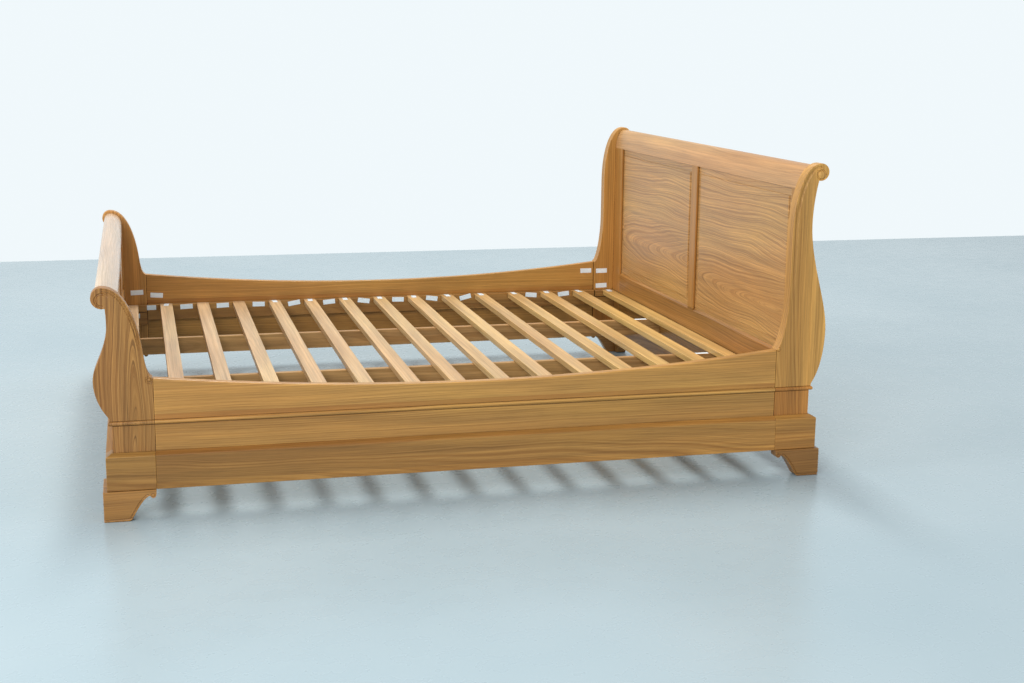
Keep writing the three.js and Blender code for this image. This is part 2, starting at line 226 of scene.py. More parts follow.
def teak(name, cut, tone, figure=0.3, ring_gap=0.005, heart=0.06, off=0.0, taper=0.04,
         contrast=1.0, lines=0.4, rough=0.38, redden=0.35, bands=(), fade=None, gloss=0.4):
    """Oiled teak with its growth rings as a sawn board shows them.

    cut names the axes along the fibres, across the face and into the face, and tone is the board's
    middle colour. The rings are centred heart behind the face and off to one side, taper runs them
    out along the board, and figure is how far they wander. contrast and lines are how strong the
    broad and the thin rings are, and redden the redder and more golden patches. bands are strips
    at given heights tinted darker or lighter than the rest, each a lower height, an upper height and
    a tint. fade is a place along the bed, how light the wood is there, and the same for a second place.
    """
    t = Board(name, cut)
    light = scaled(tone, 1.20, 1.24, 1.34)
    dark = scaled(tone, 0.66, 0.58, 0.48)

    radius = t.ring_radius(figure, heart, off, taper)
    broad = t.ramp(t.rings(radius, ring_gap), (0.36, dark), (0.64, light), (0.50, tone))
    colour = t.mix(contrast, tone, broad)
    thin = t.ramp(t.rings(radius, ring_gap * NARROW_RINGS), (0.33, WHITE), (0.45, BLACK))
    colour = t.mix(t.share(thin, lines), colour, scaled(dark, 0.62, 0.62, 0.62))

    cloud = t.streaks(1.2, 5.0, 1.0)
    ruddy = t.ramp(cloud, (0.38, BLACK), (0.66, WHITE))
    colour = t.mix(t.share(ruddy, redden), colour, scaled(tone, 0.86, 0.68, 0.55))
    for low, high, tint in bands:
        inside = t.math("COMPARE", t.axis(t.place, "Z"), (low + high) / 2, (high - low) / 2)
        colour = t.times(colour, t.mix(inside, WHITE, tint))
    golden = t.ramp(cloud, (0.30, WHITE), (0.46, BLACK))
    colour = t.mix(t.share(golden, redden), colour, scaled(tone, 1.12, 1.10, 0.85))

    fibre = t.streaks(6.0, 280.0, 3.0, 0.6)
    stripe = t.streaks(1.6, 38.0, 2.0)
    shade = t.math("ADD", t.math("MULTIPLY_ADD", fibre, 0.72, 0.24), t.math("MULTIPLY", stripe, 0.80))
    colour = t.times(colour, t.grey(shade))
    pores = t.ramp(t.streaks(24.0, 1000.0, 2.0), (0.28, WHITE), (0.40, BLACK))
    colour = t.mix(t.share(pores, 0.25), colour, scaled(dark, 0.3, 0.3, 0.3))
    if fade:
        x0, first, x1, last = fade
        share = t.add("ShaderNodeMapRange", Value=t.axis(t.place, "X"),
                      From_Min=x0, From_Max=x1, To_Min=first, To_Max=last)
        colour = t.times(colour, t.grey(share.outputs[0]))
    t.put(t.inputs["Base Color"], t.painted_light_and_edge_wear(colour))

    t.put(t.inputs["Roughness"], t.math("MULTIPLY_ADD", fibre, 0.20, rough - 0.10))
    t.inputs["Specular IOR Level"].default_value = gloss
    height = t.math("ADD", t.math("MULTIPLY", fibre, 0.7), t.math("MULTIPLY", pores, -0.5))
    bump = t.add("ShaderNodeBump", Strength=0.22, Distance=0.6 * MM, Height=height)
    t.put(t.inputs["Normal"], bump.outputs[0])
    return t.material


AMBER = (0.440, 0.212, 0.050)
UMBER = (0.360, 0.180, 0.048)
SLAT_FOOT_TONE = (0.655, 0.465, 0.275)
SLAT_HEAD_TONE = (0.61, 0.380, 0.125)


def slat_teak(i):
    """Slats run from a pale tan at the foot to a golden brown at the head."""
    share = i / (len(SLATS) - 1)
    tone = tuple(a + (b - a) * share for a, b in zip(SLAT_FOOT_TONE, SLAT_HEAD_TONE))
    return teak(f"slat_teak_{i}", "YXZ", tone, 0.12, off=0.05, taper=0.01, contrast=0.35,
                lines=0.18, rough=0.42, redden=0.55)


def steel():
    t = Tree("hook_steel")
    brushed = t.noise(t.vector("MULTIPLY", t.place, (900, 900, 60)), 1.0, 2.0)
    tone = t.ramp(brushed, (0.3, (0.42, 0.43, 0.44)), (0.7, (0.60, 0.61, 0.62)))
    t.put(t.inputs["Base Color"], tone)
    t.put(t.inputs["Roughness"], t.math("MULTIPLY_ADD", brushed, 0.2, 0.28))
    t.inputs["Metallic"].default_value = 1.0
    return t.material


def paper():
    t = Tree("sticker_paper")
    pulp = t.noise(t.place, 900.0, 3.0)
    stain = t.noise(t.place, 60.0, 2.0)
    # Both ends of the ramp carry a blue cast: painted cool light, offsetting the warm light that the wood
    # bounces onto the paper.
    tone = t.ramp(stain, (0.3, (0.80, 0.90, 0.96)), (0.7, (0.87, 0.95, 1.00)))
    t.put(t.inputs["Base Color"], tone)
    t.put(t.inputs["Roughness"], t.math("MULTIPLY_ADD", pulp, 0.2, 0.45))
    return t.material


MATERIALS = {
    "rail": teak(
        "rail_teak", "XZY", (0.484, 0.253, 0.064), 0.16, off=0.30, taper=0.01, contrast=0.5,
        lines=0.25, fade=(-1.0, 0.97, 1.0, 1.0),
        bands=[(0.0, BEAD_LOW_Z, (0.86, 0.84, 0.82)), (BEAD_HIGH_Z, 0.293, (0.84, 0.74, 0.66))]),
    "ledger": teak("ledger_teak", "XYZ", UMBER, 0.2, off=0.2, contrast=0.5, lines=0.3),
    "side_plinth": teak(
        "side_plinth_teak", "XZY", (0.340, 0.168, 0.040), 0.45, off=0.05, taper=0.03, contrast=0.6,
        lines=0.35, fade=(-1.0, 0.77, 1.0, 1.30),
        bands=[(0.0, 0.103, (1.20, 1.18, 1.13)), (0.179, 0.2, (0.95, 0.88, 0.82))]),
    "end_plinth": teak(
        "end_plinth_teak", "YZX", UMBER, 0.45, off=0.05, taper=0.03, contrast=0.6, lines=0.3,
        rough=0.62),
    "head_post": teak(
        "head_post_teak", "ZXY", (0.520, 0.272, 0.067), 0.35, off=0.10, taper=0.05, contrast=0.6,
        lines=0.25, rough=0.44, fade=(0.95, 0.91, 1.06, 1.20),
        bands=[(0.0, BEAD_HIGH_Z, (0.84, 0.70, 0.58))]),
    "foot_post": teak(
        "foot_post_teak", "ZXY", (0.340, 0.162, 0.041), 0.42, heart=0.016, off=-0.033, taper=0.050,
        lines=0.9, rough=0.46),
    "far_foot_post": teak(
        "far_foot_post_teak", "ZXY", (0.520, 0.265, 0.070), 0.35, off=0.10, taper=0.05,
        contrast=0.6, lines=0.3, rough=0.46),
    "foot_block": teak(
        "foot_block_teak", "XZY", (0.300, 0.150, 0.036), 0.4, off=0.05, contrast=0.6, lines=0.3),
    "head_block": teak(
        "head_block_teak", "XZY", (0.420, 0.202, 0.046), 0.4, off=0.05, contrast=0.6, lines=0.3),
    "upright": teak(
        "upright_teak", "ZYX", AMBER, 0.2, off=0.2, taper=0.02, contrast=0.5, lines=0.3),
    "head_roll": teak(
        "head_roll_teak", "YZX", (0.54, 0.305, 0.125), off=0.2, contrast=0.4, lines=0.15,
        rough=0.34, redden=0.5),
    # Paler and greyer than the head roll: painted reflection of the bright room along the roll, on top of
    # the real gloss from its low roughness.
    "foot_roll": teak(
        "foot_roll_painted_reflection_teak", "YXZ", (0.60, 0.43, 0.28), off=0.2, contrast=0.4, lines=0.2,
        rough=0.22),
    "bottom_rail": teak(
        "bottom_rail_teak", "YZX", (0.360, 0.172, 0.041), off=0.1, contrast=0.8, lines=0.5),
    "panel": teak(
        "panel_teak", "YZX", (0.530, 0.290, 0.093), 0.62, 0.006, heart=0.05, off=0.10, taper=0.10,
        contrast=0.85, lines=0.8, redden=0.45, gloss=0.6),
    "foot_bracket": teak(
        "foot_bracket_teak", "XZY", UMBER, off=0.1, contrast=0.6, lines=0.35),
    "head_bracket": teak(
        "head_bracket_teak", "XZY", (0.300, 0.145, 0.038), off=0.1, contrast=0.6, lines=0.35),
    "beam": teak(
        "beam_teak", "XYZ", (0.46, 0.26, 0.095), 0.2, off=0.2, contrast=0.5, lines=0.3, rough=0.5),
    "steel": steel(),
    "paper": paper(),
}
for number, slat_node in enumerate(SLATS):
    MATERIALS[slat_node] = slat_teak(number)


# ---- mesh helpers ----

random.seed(7)


def show(obj, material, body="frame"):
    """Gives a piece its material, its body and its own place in the grain."""
    obj.data.materials.clear()
    obj.data.materials.append(MATERIALS[material])
    corners = [Vector(c) for c in obj.bound_box]
    middle = (corners[0] + corners[6]) / 2
    obj["board"] = [random.uniform(-0.03, 0.03) - c for c in middle]
    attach(obj, body)


def link_new(name, mesh):
    obj = bpy.data.objects.new(name, mesh)
    bpy.context.scene.collection.objects.link(obj)
    return obj


def new_object(name, bm):
    bmesh.ops.recalc_face_normals(bm, faces=bm.faces)
    mesh = bpy.data.meshes.new(name)
    bm.to_mesh(mesh)
    bm.free()
    return link_new(name, mesh)


def bake_modifiers(obj):
    graph = bpy.context.evaluated_depsgraph_get()
    graph.update()
    mesh = bpy.data.meshes.new_from_object(obj.evaluated_get(graph))
    old = obj.data
    obj.modifiers.clear()
    obj.data = mesh
    bpy.data.meshes.remove(old)
    mesh.name = obj.name


def soften(obj, width, angle=50):
    """Rounds every edge sharper than angle."""
    m = obj.modifiers.new("edges", "BEVEL")
    m.width = width
    m.segments = 2
    m.limit_method = "ANGLE"
    m.angle_limit = math.radians(angle)
    m.use_clamp_overlap = True
    bake_modifiers(obj)
    return obj


def smooth(obj, angle=38):
    """Smooth shading that keeps flat faces flat."""
    obj.data.polygons.foreach_set("use_smooth", [True] * len(obj.data.polygons))
    obj.data.set_sharp_from_angle(angle=math.radians(angle))
    m = obj.modifiers.new("normals", "WEIGHTED_NORMAL")
    m.keep_sharp = True
    m.weight = 100


def combine(obj, other, operation):
    """Joins other to obj or cuts it away, and removes it."""
    m = obj.modifiers.new("combine", "BOOLEAN")
    m.operation = operation
    m.solver = "MANIFOLD"
    m.object = other
    bake_modifiers(obj)
    bpy.data.objects.remove(other)


def carve(obj, *cutters):
    for cutter in cutters:
        combine(obj, cutter, "DIFFERENCE")


def skinned(name, loops, closed=False):
    """A skin from each loop of points to the next, with caps, or closed from the last to the first."""
    bm = bmesh.new()
    rows = [[bm.verts.new(p) for p in loop] for loop in loops]
    if closed:
        rows.append(rows[0])
    count = len(rows[0])
    for a, b in zip(rows, rows[1:]):
        for k in range(count):
            bm.faces.new((a[k], a[(k + 1) % count], b[(k + 1) % count], b[k]))
    if not closed:
        bm.faces.new(rows[0])
        bm.faces.new(list(reversed(rows[-1])))
    return new_object(name, bm)


def prism(name, outline, low, high):
    """An outline in (x, z), extruded along Y."""
    return skinned(name, [[(x, y, z) for x, z in outline] for y in (low, high)])


def rectangle(ys, zs):
    return [(ys[0], zs[0]), (ys[1], zs[0]), (ys[1], zs[1]), (ys[0], zs[1])]


def block(name, xs, ys, zs):
    """A plain box that other pieces are cut with or joined to."""
    return skinned(name, [[(x, y, z) for y, z in rectangle(ys, zs)] for x in sorted(xs)])


def full_turn(steps):
    return [2 * math.pi * k / steps for k in range(steps)]


def heading(points, i):
    """Which way a curve runs at one of its points."""
    return (points[min(i + 1, len(points) - 1)] - points[max(i - 1, 0)]).normalized()


def tube(name, points, radius, sides=10):
    """A closed tube along points, for carving."""
    points = [Vector(p) for p in points]
    loops = []
    for i, p in enumerate(points):
        ahead = heading(points, i)
        side = ahead.cross(Vector((0, 1, 0))).normalized()
        up = side.cross(ahead)
        loops.append([p + side * (radius * math.cos(a)) + up * (radius * math.sin(a))
                      for a in full_turn(sides)])
    return skinned(name, loops)


def ring(name, centre, radius, thickness, steps=40, sides=10):
    """A torus whose axis is Y, for carving."""
    loops = []
    for a in full_turn(steps):
        out = Vector((math.cos(a), 0, math.sin(a)))
        loops.append([Vector(centre) + out * (radius + thickness * math.cos(b))
                      + Vector((0, thickness * math.sin(b), 0)) for b in full_turn(sides)])
    return skinned(name, loops, closed=True)


def dome(name, centre, radius, height, rings=6, steps=32):
    """A low round button that faces +Y, sunk a little below its base."""
    sink = 2 * MM
    profile = [(radius, -sink)] + [(radius * math.cos(a), height * math.sin(a))
                                   for a in np.linspace(0, math.pi / 2 * 0.92, rings)]
    return skinned(name, [[Vector(centre) + Vector((r * math.cos(a), y, r * math.sin(a)))
                           for a in full_turn(steps)] for r, y in profile])


def mirrored(obj, name, end, side):
    """A copy of a head-right piece, mirrored to another corner."""
    mesh = obj.data.copy()
    mesh.transform(Matrix.Diagonal((end, side, 1, 1)))
    if end * side < 0:
        mesh.flip_normals()
    return link_new(name, mesh)


def bezier(a, b, c, d, steps):
    """Points of a cubic curve after its first one."""
    a, b, c, d = (Vector(p) for p in (a, b, c, d))
    out = []
    for i in range(1, steps + 1):
        t = i / steps
        s = 1 - t
        out.append(tuple(a * s ** 3 + b * 3 * t * s ** 2 + c * 3 * t * t * s + d * t ** 3))
    return out


def arc(centre, radius, start, stop, steps=26):
    """Points of an arc, its first one included. Angles in degrees."""
    return [(centre[0] + radius * math.cos(math.radians(a)), centre[1] + radius * math.sin(math.radians(a)))
            for a in np.linspace(start, stop, steps)]


def offset(points, distance):
    """An open curve moved to its right by distance."""
    points = [Vector(p) for p in points]
    out = []
    for i, p in enumerate(points):
        ahead = heading(points, i)
        out.append(p + Vector((ahead.y, -ahead.x)) * distance)
    return out


def in_mm(*pairs):
    return [(x * MM, z * MM) for x, z in pairs]


def beyond(*pairs):
    """Points given in mm as (distance past the seam, height)."""
    return [(SEAM_X + x * MM, z * MM) for x, z in pairs]


def stand_for(piece, node, material, body="frame", angle=38):
    """Shows a finished piece in place of its CAD node."""
    smooth(piece, angle)
    show(piece, material, body)
    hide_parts(node)


# ---- posts ----

# Outlines and carving, in mm past the seam and mm above the floor. front and back are cubic
# curves, and scroll is the centre, radius and last angle of the rolled top. eye and button are
# the carved eye's centre and radius, and boss is how far it stands out. lines are the carved
# lines' inset, radius and rise, and fade_z is between which heights they run out. curl is the
# centre of the small curl above the rail, and curl_rings are its radii.
POST_SPECS = {
    "head": dict(
        front=[((0, 395), (16, 402), (35, 490), (35, 590)),
               ((35, 590), (35, 640), (35, 690), (35, 740)),
               ((35, 740), (35, 850), (62, 957), (118, 957))],
        scroll=((118, 931), 26, -102.6),
        back=[((104, 870), (97.5, 825), (97.5, 775)),
              ((97.5, 660), (157.5, 540), (157.5, 450)),
              ((157.5, 380), (142, 318), (118, 285))],
        eye=(119, 923), button=12.5, boss=3.0,
        lines=[(11.5, 6.5, 3.8)], fade_z=(600, 500),
        curl=(6.5, 396), curl_rings=(6.2,)),
    "foot": dict(
        front=[((0, 395), (14, 400), (19, 430), (22.5, 460)),
               ((22.5, 460), (30, 525), (56, 648), (125, 648))],
        scroll=((125, 619), 29, -104.4),
        back=[((116, 570), (116, 560), (116, 545)),
              ((116, 480), (157.5, 430), (157.5, 393)),
              ((157.5, 350), (142, 315), (118, 285))],
        eye=(125, 614), button=16, boss=0,
        lines=[(4.5, 1.9, 0.2), (10.5, 2.2, 0.2)], fade_z=(500, 440),
        curl=(9, 390), curl_rings=(10.5, 6.0)),
}
BULGE_END_X = SEAM_X + 118 * MM  # where the bulge's back comes down to the bead
POST_CURVE_STEPS = 16
SHAPED_EDGE = 2.6 * MM  # how far the shaped edges are rounded
SHAPED_FROM_Z = BEAD_HIGH_Z + 4 * MM
FIT = 0.3 * MM  # clearance round the hooks
HOOK_SLOT_HALF = 1.8 * MM  # half the slot's width
HOOK_SLOT_INSET = 5 * MM  # of the slot's ends from the hook plate's ends


def front_curve(spec):
    points = beyond(spec["front"][0][0])
    for curve in spec["front"]:
        points += bezier(*beyond(*curve), steps=POST_CURVE_STEPS)
    return points


def post_outline(spec):
    centre, radius, last = spec["scroll"]
    points = [(SEAM_X, FOOT_TOP_Z)] + front_curve(spec)
    points += arc(beyond(centre)[0], radius * MM, 90, last)[1:]
    for curve in spec["back"]:
        points += bezier(points[-1], *beyond(*curve), steps=POST_CURVE_STEPS)
    points += [(BULGE_END_X, BEAD_MIDDLE_Z), (NECK_X, BEAD_MIDDLE_Z), (NECK_X, FOOT_TOP_Z)]
    return points


def bead_round():
    """The half-round bead that wraps the post's outer face and back, above its neck."""
    out, back = BEAD_OUT_Y - BEAD_RADIUS, BEAD_BACK_X - BEAD_RADIUS
    loops = []
    for turn in np.linspace(-90, 90, 9):
        reach = BEAD_RADIUS * math.cos(math.radians(turn))
        z = BEAD_MIDDLE_Z + BEAD_RADIUS * math.sin(math.radians(turn))
        loops.append([(SEAM_X, POST_IN_Y, z), (SEAM_X, out + reach, z),
                      (back + reach, out + reach, z), (back + reach, POST_IN_Y, z)])
    return skinned("bead_form", loops)


def edge_groove(spec, inset, radius, rise):
    """A carved line that follows the post's front edge from the scroll and runs out low down."""
    high, low = (z * MM for z in spec["fade_z"])
    clear = 1.1 * radius  # how far out the carver is lifted when it no longer cuts
    path = []
    for p in offset(front_curve(spec), inset * MM):
        if p.y > low:
            lifted = max(0.0, min(1.0, (high - p.y) / (high - low)))
            path.append((p.x, POST_OUT_Y + (rise + lifted * (clear - rise)) * MM, p.y))
    return tube("groove_form", path, radius * MM, 16)


def scroll_groove(centre, radius):
    """The carved line round the scroll's eye, which runs out on the side towards the post."""
    full_from, full_to, run_out = 125, -80, 40  # degrees
    points = []
    for turn in np.linspace(165, -120, 44):
        lifted = max(0.0, turn - full_from, full_to - turn) / run_out
        a = math.radians(turn)
        points.append((centre[0] + radius * math.cos(a), POST_OUT_Y + lifted * 4.2 * MM,
                       centre[1] + radius * math.sin(a)))
    return tube("scroll_form", points, 3.6 * MM)


def round_shaped_edges(post):
    """Rounds the edges of the curved part, and leaves the seam and the neck crisp."""
    near = 0.1 * MM

    def shaped(edge):
        a, b = (v.co for v in edge.verts)
        along_face = abs(a.y - b.y) < near
        return along_face and min(a.z, b.z) > SHAPED_FROM_Z and min(a.x, b.x) > SEAM_X + near

    bm = bmesh.new()
    bm.from_mesh(post.data)
    edges = [e for e in bm.edges if shaped(e)]
    bmesh.ops.bevel(bm, geom=edges, offset=SHAPED_EDGE, segments=4, profile=0.5, affect="EDGES",
                    clamp_overlap=True)
    bm.to_mesh(post.data)
    bm.free()


def add_bead(post):
    for z in (BEAD_LOW_Z, BEAD_HIGH_Z):
        carve(post, block("quirk_form", (SEAM_X - PAST, POST_HIGH.x),
                          (POST_OUT_Y - QUIRK, POST_OUT_Y + PAST), (z - QUIRK, z + QUIRK)))
    combine(post, bead_round(), "UNION")


def carve_scroll(post, spec):
    """The lines along the front edge, and the eye: a ring and a boss, or an open spiral."""
    for line in spec["lines"]:
        carve(post, edge_groove(spec, *line))
    centre = beyond(spec["eye"])[0]
    eye = (centre[0], POST_OUT_Y, centre[1])
    radius = spec["button"] * MM
    if spec["boss"]:
        carve(post, ring("ring_form", eye, radius + 1 * MM, 2.8 * MM))
        combine(post, dome("boss_form", eye, radius - 1.4 * MM, spec["boss"] * MM), "UNION")
    else:
        carve(post, scroll_groove(centre, radius + 1 * MM))


def cut_hook_slot(post):
    carve(post, block("slot_form", (SEAM_X - PAST, HOOK_HIGH.x + FIT),
                      (HOOK_Y - HOOK_SLOT_HALF, HOOK_Y + HOOK_SLOT_HALF),
                      (HOOK_LOW.z + HOOK_SLOT_INSET, HOOK_HIGH.z - HOOK_SLOT_INSET)))


def carve_curl(post, spec):
    x, z = beyond(spec["curl"])[0]
    centre = (x, POST_OUT_Y, z)
    for radius in spec["curl_rings"]:
        carve(post, ring("curl_form", centre, radius * MM, 1.6 * MM, 24, 8))
    combine(post, dome("curl_button", centre, 4.4 * MM, 2.2 * MM, 4, 20), "UNION")


def make_post(end_name):
    spec = POST_SPECS[end_name]
    post = prism(f"{end_name}_post_form", post_outline(spec), POST_IN_Y, POST_OUT_Y)
    round_shaped_edges(post)
    soften(post, 0.8 * MM)
    add_bead(post)
    carve_scroll(post, spec)
    cut_hook_slot(post)
    carve_curl(post, spec)
    return post


# ---- bracket feet ----

FOOT_SPAN = 143 * MM  # of each leg, from the corner
FOOT_THICK = 40 * MM
RIM_INSET = 5.4 * MM  # of the carved line from the swept edge
VOLUTE = (133.5 * MM, 69.5 * MM)
VOLUTE_RADIUS = 7.6 * MM
VOLUTE_STEPS = 14


def bracket_outline():
    """A leg's plumb edge and top, then its volute and swept edge, in (in from the corner, z)."""
    straight = [(0.0, 0.0), (0.0, FOOT_TOP_Z), (FOOT_SPAN, FOOT_TOP_Z), (FOOT_SPAN - 1.0 * MM, 72 * MM)]
    swept = arc(VOLUTE, VOLUTE_RADIUS, -5, -175, VOLUTE_STEPS)
    swept += bezier(swept[-1], *in_mm((113, 68), (97, 44), (82, 17)), steps=14)
    swept += bezier(swept[-1], *in_mm((77, 9), (75, 1), (66, 0.0)), steps=6)
    return straight, swept


def bracket_leg(turn):
    """One leg, and what carves the line along its swept edge and its small volute."""
    straight, swept = bracket_outline()
    leg = prism("foot_form", straight + swept, 0.0, FOOT_THICK)  # y is from the inside out
    soften(leg, 2.2 * MM)
    face = FOOT_THICK + 0.2 * MM
    line = [(p.x, face, p.y) for p in offset(swept, RIM_INSET)[VOLUTE_STEPS:]]
    line[-1] = (line[-1][0] - 4 * MM, face, RIM_INSET)
    line.append((-1 * MM, face, RIM_INSET))
    cutters = [tube("foot_groove", line, 2.6 * MM, 8),
               ring("foot_ring", (VOLUTE[0], FOOT_THICK, 70 * MM), 4.8 * MM, 2.4 * MM, 24, 8)]
    for form in (leg, *cutters):
        form.data.transform(turn)
        if turn.determinant() < 0:
            form.data.flip_normals()
    return leg, cutters


def make_foot():
    """Both legs of the head's right corner, joined."""
    x, y = FOOT_HIGH.x, FOOT_HIGH.y
    side_turn = Matrix(((-1, 0, 0, x), (0, 1, 0, y - FOOT_THICK), (0, 0, 1, 0), (0, 0, 0, 1)))
    back_turn = Matrix(((0, 1, 0, x - FOOT_THICK), (-1, 0, 0, y), (0, 0, 1, 0), (0, 0, 0, 1)))
    foot, side_cutters = bracket_leg(side_turn)
    back_leg, back_cutters = bracket_leg(back_turn)
    combine(foot, back_leg, "UNION")
    carve(foot, *side_cutters, *back_cutters)
    return foot


# ---- side rails ----

RAIL_DIP = 52 * MM
INNER_ROUND = 4 * MM
OUTER_ROUND = 7 * MM
SEAM_SLOT = 1.3 * MM  # the dark line where a rail butts against its post
SLOT_DEPTH = 3 * MM
NECK_GAP = 1.8 * MM  # the wider line below the bead
INNER_GAP = 2.6 * MM  # the widest, on the mattress side
GAP_DEPTH = 3.5 * MM


def rail_section(top):
    """The side rail's section in (y, z): rounded top edges and a half-round bead outside."""
    low = RAIL_LOW.z
    points = [(RAIL_IN_Y, low), (RAIL_IN_Y, top - INNER_ROUND)]
    points += arc((RAIL_IN_Y + INNER_ROUND, top - INNER_ROUND), INNER_ROUND, 180, 90, 6)[1:]
    points += arc((POST_OUT_Y - OUTER_ROUND, top - OUTER_ROUND), OUTER_ROUND, 90, 0, 8)
    points += [(POST_OUT_Y, BEAD_HIGH_Z + QUIRK), (POST_OUT_Y - QUIRK, BEAD_HIGH_Z + QUIRK)]
    reach = BEAD_OUT_Y - POST_OUT_Y + QUIRK
    points += [(POST_OUT_Y - QUIRK + reach * math.cos(math.radians(a)),
                BEAD_MIDDLE_Z + BEAD_RADIUS * math.sin(math.radians(a))) for a in np.linspace(90, -90, 13)]
    points += [(POST_OUT_Y - QUIRK, BEAD_LOW_Z - QUIRK), (POST_OUT_Y, BEAD_LOW_Z - QUIRK)]
    return points + [(POST_OUT_Y, low)]


def finish_rail_end(rail, end):
    """Fills the rail out to its post behind the seam, then cuts the hook's pocket and the wider lines."""
    past = end * (SEAM_X + PAST)
    below = RAIL_LOW.z - PAST
    core = block("rail_core", (end * (SEAM_X - SEAM_SLOT - 2 * MM), end * (SEAM_X - 0.05 * MM)),
                 (RAIL_IN_Y + SLOT_DEPTH, POST_OUT_Y - SLOT_DEPTH),
                 (RAIL_LOW.z + SLOT_DEPTH, RAIL_HIGH.z - SLOT_DEPTH))
    combine(rail, core, "UNION")
    carve(rail,
          block("pocket_form", (end * (HOOK_LOW.x - FIT), past),
                (HOOK_LOW.y - FIT, HOOK_HIGH.y + FIT), (HOOK_LOW.z - FIT, HOOK_HIGH.z + FIT)),
          block("neck_gap", (end * (SEAM_X - NECK_GAP), past),
                (POST_OUT_Y - GAP_DEPTH, POST_OUT_Y + 9 * MM), (below, BEAD_LOW_Z - QUIRK)),
          block("inner_gap", (end * (SEAM_X - INNER_GAP), past),
                (RAIL_IN_Y - PAST, RAIL_IN_Y + GAP_DEPTH), (below, RAIL_HIGH.z - 4 * MM)))


def make_side_rail():
    half = SEAM_X - SEAM_SLOT
    loops = []
    for x in np.linspace(-half, half, 61):
        top = RAIL_HIGH.z - RAIL_DIP * (1 - (x / SEAM_X) ** 2)
        loops.append([(x, y, z) for y, z in rail_section(top)])
    rail = soften(skinned("side_rail_form", loops), 0.5 * MM, angle=60)
    for end in (-1, 1):
        finish_rail_end(rail, end)
    return rail


# ---- top rails ----

# Sections in mm past the seam and mm above the floor: the straight part of the face, the rest of
# the cubic sweep that follows it, and the centre and radius of the rolled edge.
TOP_RAIL_SPECS = {
    "head": dict(face=[(83, 873)], sweep=[(83, 912), (97, 948), (120, 948)],
                 centre=(120, 929), radius=19),
    "foot": dict(face=[(83, 575), (83, 598)], sweep=[(83, 622), (102, 638), (126, 638)],
                 centre=(126, 618), radius=20),
}


def make_top_rail(end_name):
    spec = TOP_RAIL_SPECS[end_name]
    points = beyond(*spec["face"])
    points += bezier(points[-1], *beyond(*spec["sweep"]), steps=20)
    points += arc(beyond(spec["centre"])[0], spec["radius"] * MM, 90, -90, 24)[1:]
    points += [(NECK_X, points[-1][1]), (NECK_X, points[0][1])]
    return soften(prism(f"{end_name}_top_rail_form", points, -POST_IN_Y, POST_IN_Y), 0.5 * MM)


# ---- panels ----

PANEL_TONGUE = 8 * MM  # hidden in the frame's groove
PANEL_MARGIN = 26 * MM
FIELD_HEIGHT = 4 * MM


def make_panel(node, end):
    """A panel whose field is raised above the margin round it."""
    low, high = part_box(node)
    front, back = (low.x, high.x) if end > 0 else (high.x, low.x)
    edge = PANEL_TONGUE + PANEL_MARGIN
    steps = [(edge + 5.0 * MM, 0), (edge + 1.5 * MM, 0.9 * MM), (edge, 2.4 * MM), (edge, FIELD_HEIGHT),
             (0, FIELD_HEIGHT)]  # each how far in from the panel's edge, and back from its front
    sections = [(inset, front + end * drop) for inset, drop in steps] + [(0, back)]
    loops = []
    for inset, x in sections:
        face = rectangle((low.y + inset, high.y - inset), (low.z + inset, high.z - inset))
        loops.append([(x, y, z) for y, z in face])
    stand_for(skinned(f"{node}_wood", loops), node, "panel", angle=20)


# ---- the pieces ----

def from_node(node, edge, material, body="frame", cuts=()):
    """A piece with the node's own shape and rounded edges, less any cuts."""
    bm = bmesh.new()
    bm.from_mesh(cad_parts[node].data)
    bmesh.ops.remove_doubles(bm, verts=bm.verts, dist=0.02 * MM)
    bmesh.ops.dissolve_limit(bm, angle_limit=math.radians(1), verts=bm.verts, edges=bm.edges)
    piece = new_object(f"{node}_wood", bm)
    carve(piece, *cuts)
    soften(piece, edge, angle=30)
    stand_for(piece, node, material, body)


def add_copy(form, node, end, side, material):
    """A copy of a form at its own end and side."""
    stand_for(mirrored(form, f"{node}_wood", end, side), node, material)


def add_corner(end_name, side_name, post_form, foot_form):
    end, side = ENDS[end_name], SIDES[side_name]
    corner = f"{end_name}_{side_name}"
    wood = "far_foot_post" if corner == "foot_right" else f"{end_name}_post"
    add_copy(post_form, f"{corner}_post", end, side, wood)
    add_copy(foot_form, f"{corner}_foot", end, side, f"{end_name}_bracket")
    from_node(f"{corner}_slat_block", 1.0 * MM, "ledger")
    from_node(f"{corner}_stile", 1.2 * MM, "upright")
    make_panel(f"{corner}_panel", end)
    from_node(f"{corner}_plinth_block", 1.8 * MM, f"{end_name}_block")
    from_node(f"{corner}_rail_hook", 0.4 * MM, "steel")


def add_end(end_name, foot_form):
    post_form = make_post(end_name)
    top_form = make_top_rail(end_name)
    add_copy(top_form, f"{end_name}_top_rail", ENDS[end_name], 1, f"{end_name}_roll")
    for side_name in SIDES:
        add_corner(end_name, side_name, post_form, foot_form)
    from_node(f"{end_name}_bottom_rail", 1.2 * MM, "bottom_rail")
    from_node(f"{end_name}_muntin", 1.2 * MM, "upright")
    from_node(f"{end_name}_plinth", 1.8 * MM, "end_plinth")
    for form in (post_form, top_form):
        bpy.data.objects.remove(form)


def add_side(side_name, rail_form):
    add_copy(rail_form, f"{side_name}_side_rail", 1, SIDES[side_name], "rail")
    from_node(f"{side_name}_side_plinth", 1.8 * MM, "side_plinth")
    # Each cutter is deep and tall enough to take in all of a ledger's end.
    ledger_ends = [block("end_form", (end * (SEAM_X - 2 * MM), end * (SEAM_X + PAST)), (-1, 1), (0.1, 0.4))
                   for end in (-1, 1)]
    from_node(f"{side_name}_slat_ledger", 1.0 * MM, "ledger", cuts=ledger_ends)
    from_node(f"{side_name}_beam", 1.5 * MM, "beam")


